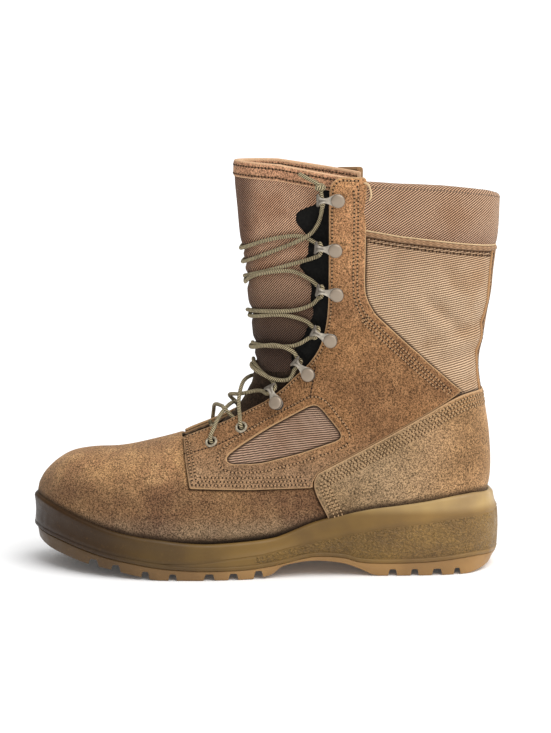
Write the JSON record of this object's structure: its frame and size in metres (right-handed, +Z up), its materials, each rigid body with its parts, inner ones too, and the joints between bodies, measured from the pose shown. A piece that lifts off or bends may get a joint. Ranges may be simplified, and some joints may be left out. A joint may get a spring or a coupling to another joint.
{
  "type": "combat boot",
  "caption": "Left lace-up combat boot with a suede and fabric upper, padded collar and tongue, speed hooks, cup midsole and lugged rubber outsole.",
  "frame": {"origin": "on the ground, below the middle of the sole's length and width", "axes": "+X towards the toe, +Y towards the outer (lateral) side of the left foot, +Z up the shaft"},
  "size_m": [0.311, 0.108, 0.2712],
  "materials": {
    "outsole_rubber": "moulded tan rubber, matt",
    "midsole": "moulded polyurethane, olive tan, satin rim and pebbled heel panel",
    "footbed": "felted footbed cloth",
    "suede": "rough-out cattlehide, napped",
    "suede_quarter": "rough-out cattlehide, short nap",
    "suede_counter": "rough-out cattlehide, brushed and worn",
    "shaft_fabric": "heavy woven nylon, ribbed",
    "tongue_fabric": "twill woven nylon over padding",
    "hook_metal": "painted steel, warm grey, satin",
    "eyelet_metal": "dark bronze lacquer",
    "lace": "braided round nylon lace with dark flecks"
  },
  "bodies": {
    "root": {"outsole": "outsole_rubber", "midsole": "midsole", "insole": "footbed", "upper": "suede", "quarter_lateral": "suede_quarter", "quarter_medial": "suede_quarter", "heel_counter": "suede_counter", "collar": "shaft_fabric", "tongue": "tongue_fabric", "hook_lateral_1": "hook_metal", "hook_lateral_2": "hook_metal", "hook_lateral_3": "hook_metal", "hook_lateral_4": "hook_metal", "hook_lateral_5": "hook_metal", "hook_lateral_6": "hook_metal", "hook_medial_1": "hook_metal", "hook_medial_2": "hook_metal", "hook_medial_3": "hook_metal", "hook_medial_4": "hook_metal", "hook_medial_5": "hook_metal", "hook_medial_6": "hook_metal", "eyelet_lateral_1": "eyelet_metal", "eyelet_lateral_2": "eyelet_metal", "eyelet_medial_1": "eyelet_metal", "eyelet_medial_2": "eyelet_metal", "lace_crossing_1": "lace", "lace_crossing_2": "lace", "lace_crossing_3": "lace", "lace_crossing_4": "lace", "lace_crossing_5": "lace", "lace_crossing_6": "lace", "lace_crossing_7": "lace", "lace_bar": "lace", "lace_knot": "lace", "lace_tail": "lace"}
  },
  "joints": []
}
